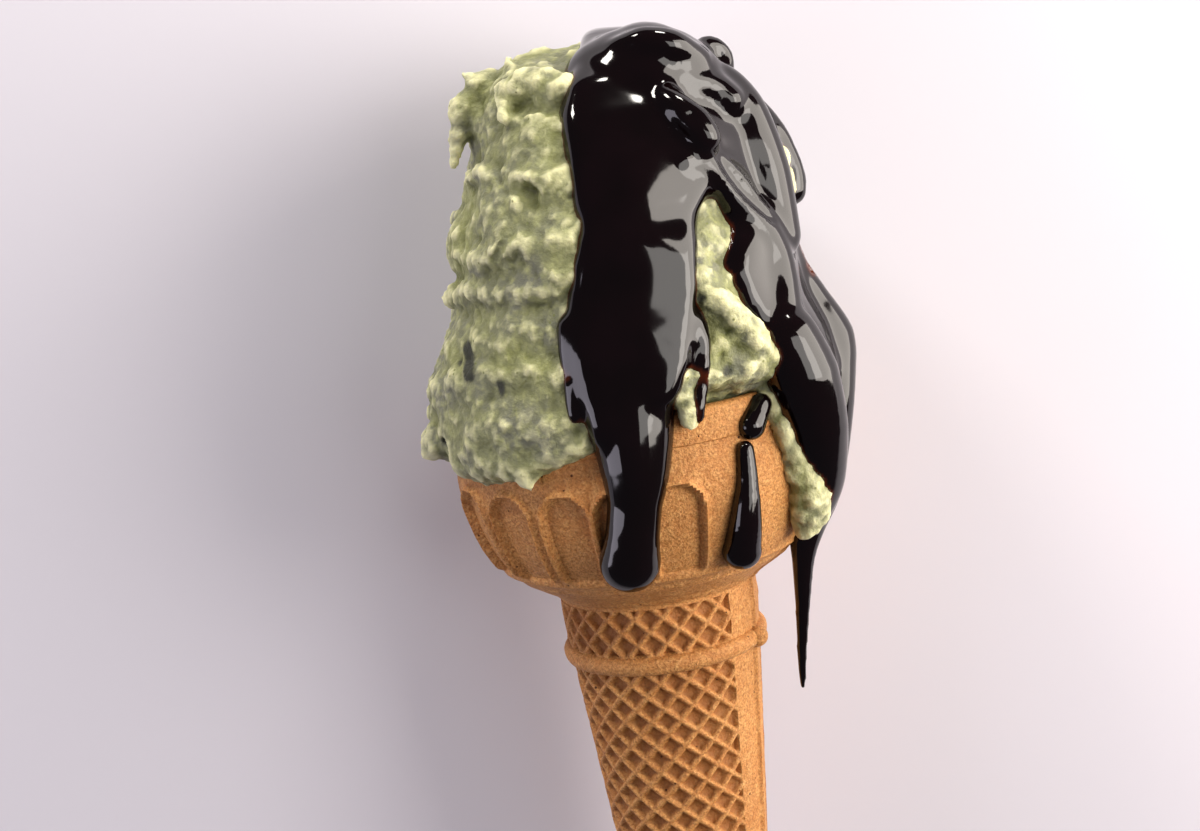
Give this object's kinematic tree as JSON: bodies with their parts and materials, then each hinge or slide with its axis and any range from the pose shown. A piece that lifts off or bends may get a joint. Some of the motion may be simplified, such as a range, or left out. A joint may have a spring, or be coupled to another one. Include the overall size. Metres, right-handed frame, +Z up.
{
  "type": "ice cream cone",
  "caption": "Moulded wafer cone with a diamond lattice stem and an arched bowl, filled with a rough heap of green ice cream under glossy chocolate sauce, lying on its side.",
  "frame": {"origin": "on the floor, under the middle of the whole lying cone's box", "axes": "+Y along the cone's axis from its tip to the ice cream, +Z up towards the shown side, +X to the shown side's right"},
  "size_m": [0.0714, 0.1746, 0.0646],
  "materials": {
    "wafer": "baked wafer, dull with tiny pores",
    "ice_cream": "soft moist crumbly ice cream",
    "sauce": "glossy dark chocolate sauce"
  },
  "bodies": {
    "root": {"wafer_cone": "wafer", "ice_cream": "ice_cream", "chocolate_sauce": "sauce", "sauce_drip": "sauce", "sauce_drop": "sauce"}
  },
  "joints": []
}
